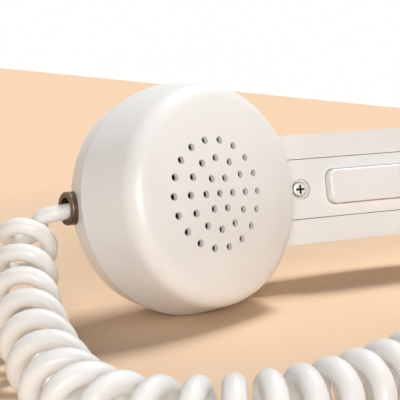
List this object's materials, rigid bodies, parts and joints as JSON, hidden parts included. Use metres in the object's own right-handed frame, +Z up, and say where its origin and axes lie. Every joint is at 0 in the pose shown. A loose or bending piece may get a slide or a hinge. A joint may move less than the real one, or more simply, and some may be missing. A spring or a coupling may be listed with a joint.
{
  "type": "telephone handset with curly cord",
  "caption": "Corded telephone handset: round leaning ear and mouth cups on a bowed grip with a long call bar, a curly cord and a small modular plug.",
  "frame": {"origin": "on the table, under the middle of the handset's bounding box, without its cord", "axes": "+X along the handset from mouthpiece to earpiece, +Z up, the two faces look towards -Y"},
  "size_m": [0.2465, 0.1518, 0.0651],
  "materials": {
    "shell_white": "glossy",
    "bar_white": "glossy",
    "screw_steel": "satin",
    "spring_steel": "satin",
    "board": "matte",
    "switch_black": "matte",
    "dust_cloth": "matte",
    "soft_rubber": "matte",
    "capsule_can": "satin",
    "inner_plastic": "matte",
    "film": "satin",
    "copper": "satin",
    "plated_steel": "satin",
    "magnet": "satin",
    "weight_iron": "matte",
    "lead_skin": "matte",
    "ferrule_dark": "satin",
    "cord_white": "satin",
    "plug_clear": "glossy",
    "gilt": "polished"
  },
  "bodies": {
    "handset": {"front_shell": "shell_white", "rear_shell": "shell_white", "grip_screw_mouth": "screw_steel", "grip_screw_ear": "screw_steel", "switch_board": "board", "switch_body": "switch_black", "cloth_mouth": "dust_cloth", "cloth_ear": "dust_cloth", "mic_boot": "soft_rubber", "mic_capsule": "capsule_can", "well_ring_mouth": "inner_plastic", "well_ring_ear": "inner_plastic", "receiver_gasket": "soft_rubber", "receiver_diaphragm": "film", "receiver_basket": "inner_plastic", "voice_coil": "copper", "receiver_yoke": "plated_steel", "receiver_magnet": "magnet", "receiver_plate": "plated_steel", "weight_mouth": "weight_iron", "weight_ear": "weight_iron", "mic_lead": "lead_skin", "receiver_lead": "lead_skin", "line_lead": "lead_skin", "cord_ferrule": "ferrule_dark", "cord_clamp": "inner_plastic", "cord_tail_near": "cord_white", "cord_coil": "cord_white", "cord_tail_far": "cord_white", "plug_body": "plug_clear", "plug_contact_1": "gilt", "plug_contact_2": "gilt", "plug_contact_3": "gilt", "plug_contact_4": "gilt"},
    "call_bar": {"call_bar": "bar_white", "bar_spring_mouth": "spring_steel", "bar_spring_ear": "spring_steel"},
    "plunger": {"switch_plunger": "switch_black"},
    "latch": {"plug_latch": "plug_clear"}
  },
  "joints": [
    {"name": "bar_press", "type": "slide", "parent": "handset", "child": "call_bar", "axis": [0, 0.9855, -0.1697], "range_m": [0, 0.001], "stiffness_N_per_m": 400, "springref_m": -0.002},
    {"name": "plunger_press", "type": "slide", "parent": "handset", "child": "plunger", "axis": [0, 0.9855, -0.1697], "range_m": [0, 0.001]},
    {"name": "latch_flex", "type": "hinge", "parent": "handset", "child": "latch", "pos_m": [0.05457, -0.047, 0.00655], "axis": [0.1222, -0.9925, 0], "range_deg": [-11, 0], "stiffness_Nm_per_rad": 0.02, "springref_deg": 5.73}
  ],
  "couplings": [
    {"joint": "plunger_press", "follows": "bar_press", "ratio": 1}
  ]
}
